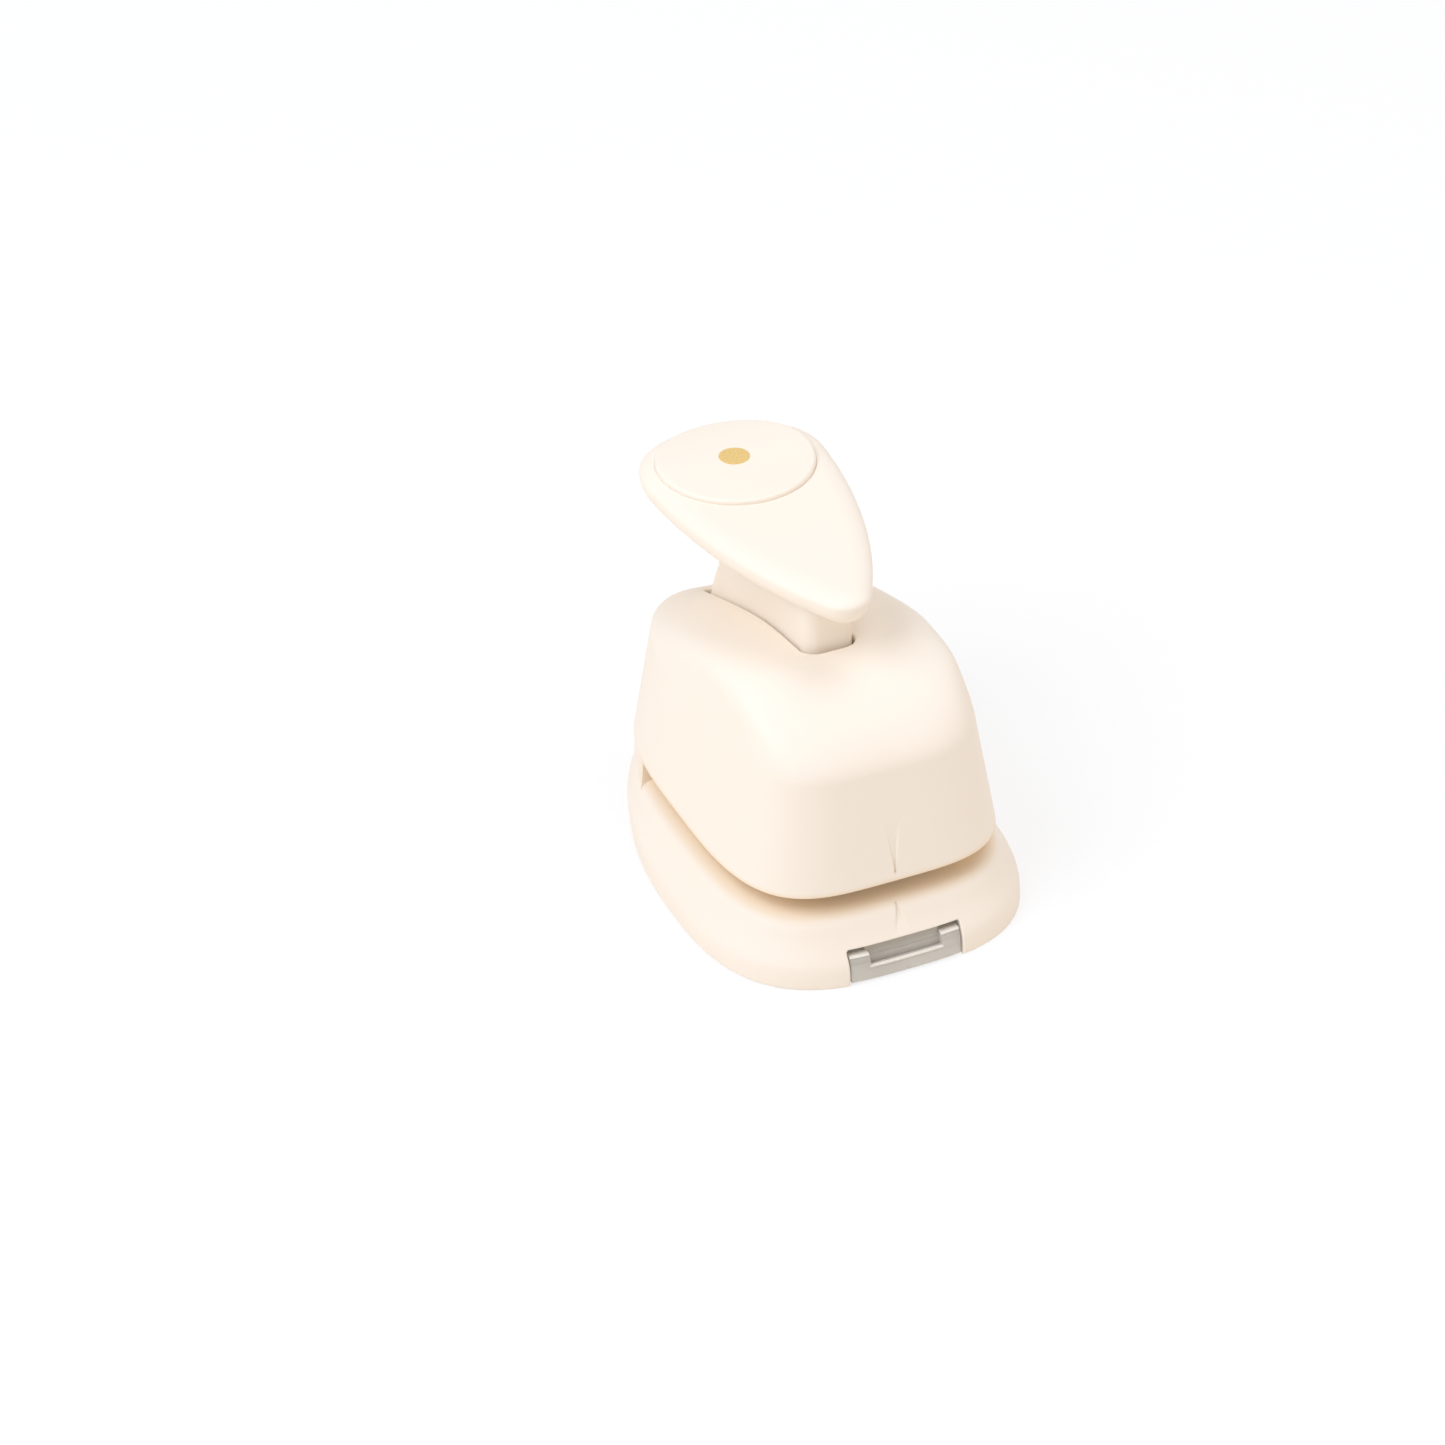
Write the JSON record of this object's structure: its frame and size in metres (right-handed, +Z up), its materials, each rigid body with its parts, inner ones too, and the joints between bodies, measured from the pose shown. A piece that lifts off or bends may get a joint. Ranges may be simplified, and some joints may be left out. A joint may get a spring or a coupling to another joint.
{
  "type": "circle punch",
  "caption": "Small lever paper punch with a domed plastic housing, a teardrop press lever, a round steel punch and die in a paper throat, and a clear drop-down tray for the waste",
  "frame": {"origin": "Middle of the whole punch in plan, on the surface that it stands on", "axes": "+Z up, +Y from the paper throat at the front to the lever's round pad at the rear, +X to the right seen from the throat, across the punch"},
  "size_m": [0.068, 0.0984, 0.0704],
  "materials": {
    "housing_shell": "fine matt texture",
    "lever_plastic": "fine matt texture",
    "pad": "satin",
    "clear_tray": "clear moulded",
    "acetal": "smooth",
    "die_cast": "as cast, tumbled",
    "steel": "bright, nickel plated",
    "bronze": "sintered"
  },
  "bodies": {
    "body": {"housing": "housing_shell", "upper_jaw": "die_cast", "lower_jaw": "die_cast", "throat_spacer": "steel", "clamp_screw_left": "steel", "clamp_screw_right": "steel", "jaw_screw_front_left": "steel", "jaw_screw_front_right": "steel", "jaw_screw_rear_left": "steel", "jaw_screw_rear_right": "steel", "die_plate": "steel", "guide_bush": "bronze", "lever_axle": "steel", "lever_washer_left": "acetal", "lever_washer_right": "acetal", "axle_clip_left": "steel", "axle_clip_right": "steel", "return_spring": "steel"},
    "lever": {"lever_arm": "lever_plastic", "lever_cap": "lever_plastic", "cap_disc": "pad", "cap_screw_front": "steel", "cap_screw_rear": "steel"},
    "punch_unit": {"punch": "steel", "punch_head": "acetal"},
    "tray": {"waste_tray": "clear_tray"}
  },
  "joints": [
    {"name": "lever_press", "type": "hinge", "parent": "body", "child": "lever", "pos_m": [0, -0.03139, 0.037], "axis": [-1, 0, 0], "range_deg": [0, 14], "stiffness_Nm_per_rad": 0.65, "springref_deg": -14.09},
    {"name": "punch_slide", "type": "slide", "parent": "body", "child": "punch_unit", "axis": [0, 0, -1], "range_m": [0, 0.0048], "deforming": ["return_spring"]},
    {"name": "tray_open", "type": "hinge", "parent": "body", "child": "tray", "pos_m": [0, 0.02815, 0.003], "axis": [1, 0, 0], "range_deg": [0, 75]}
  ],
  "couplings": [
    {"joint": "punch_slide", "follows": "lever_press", "m_per_rad": 0.0195}
  ]
}
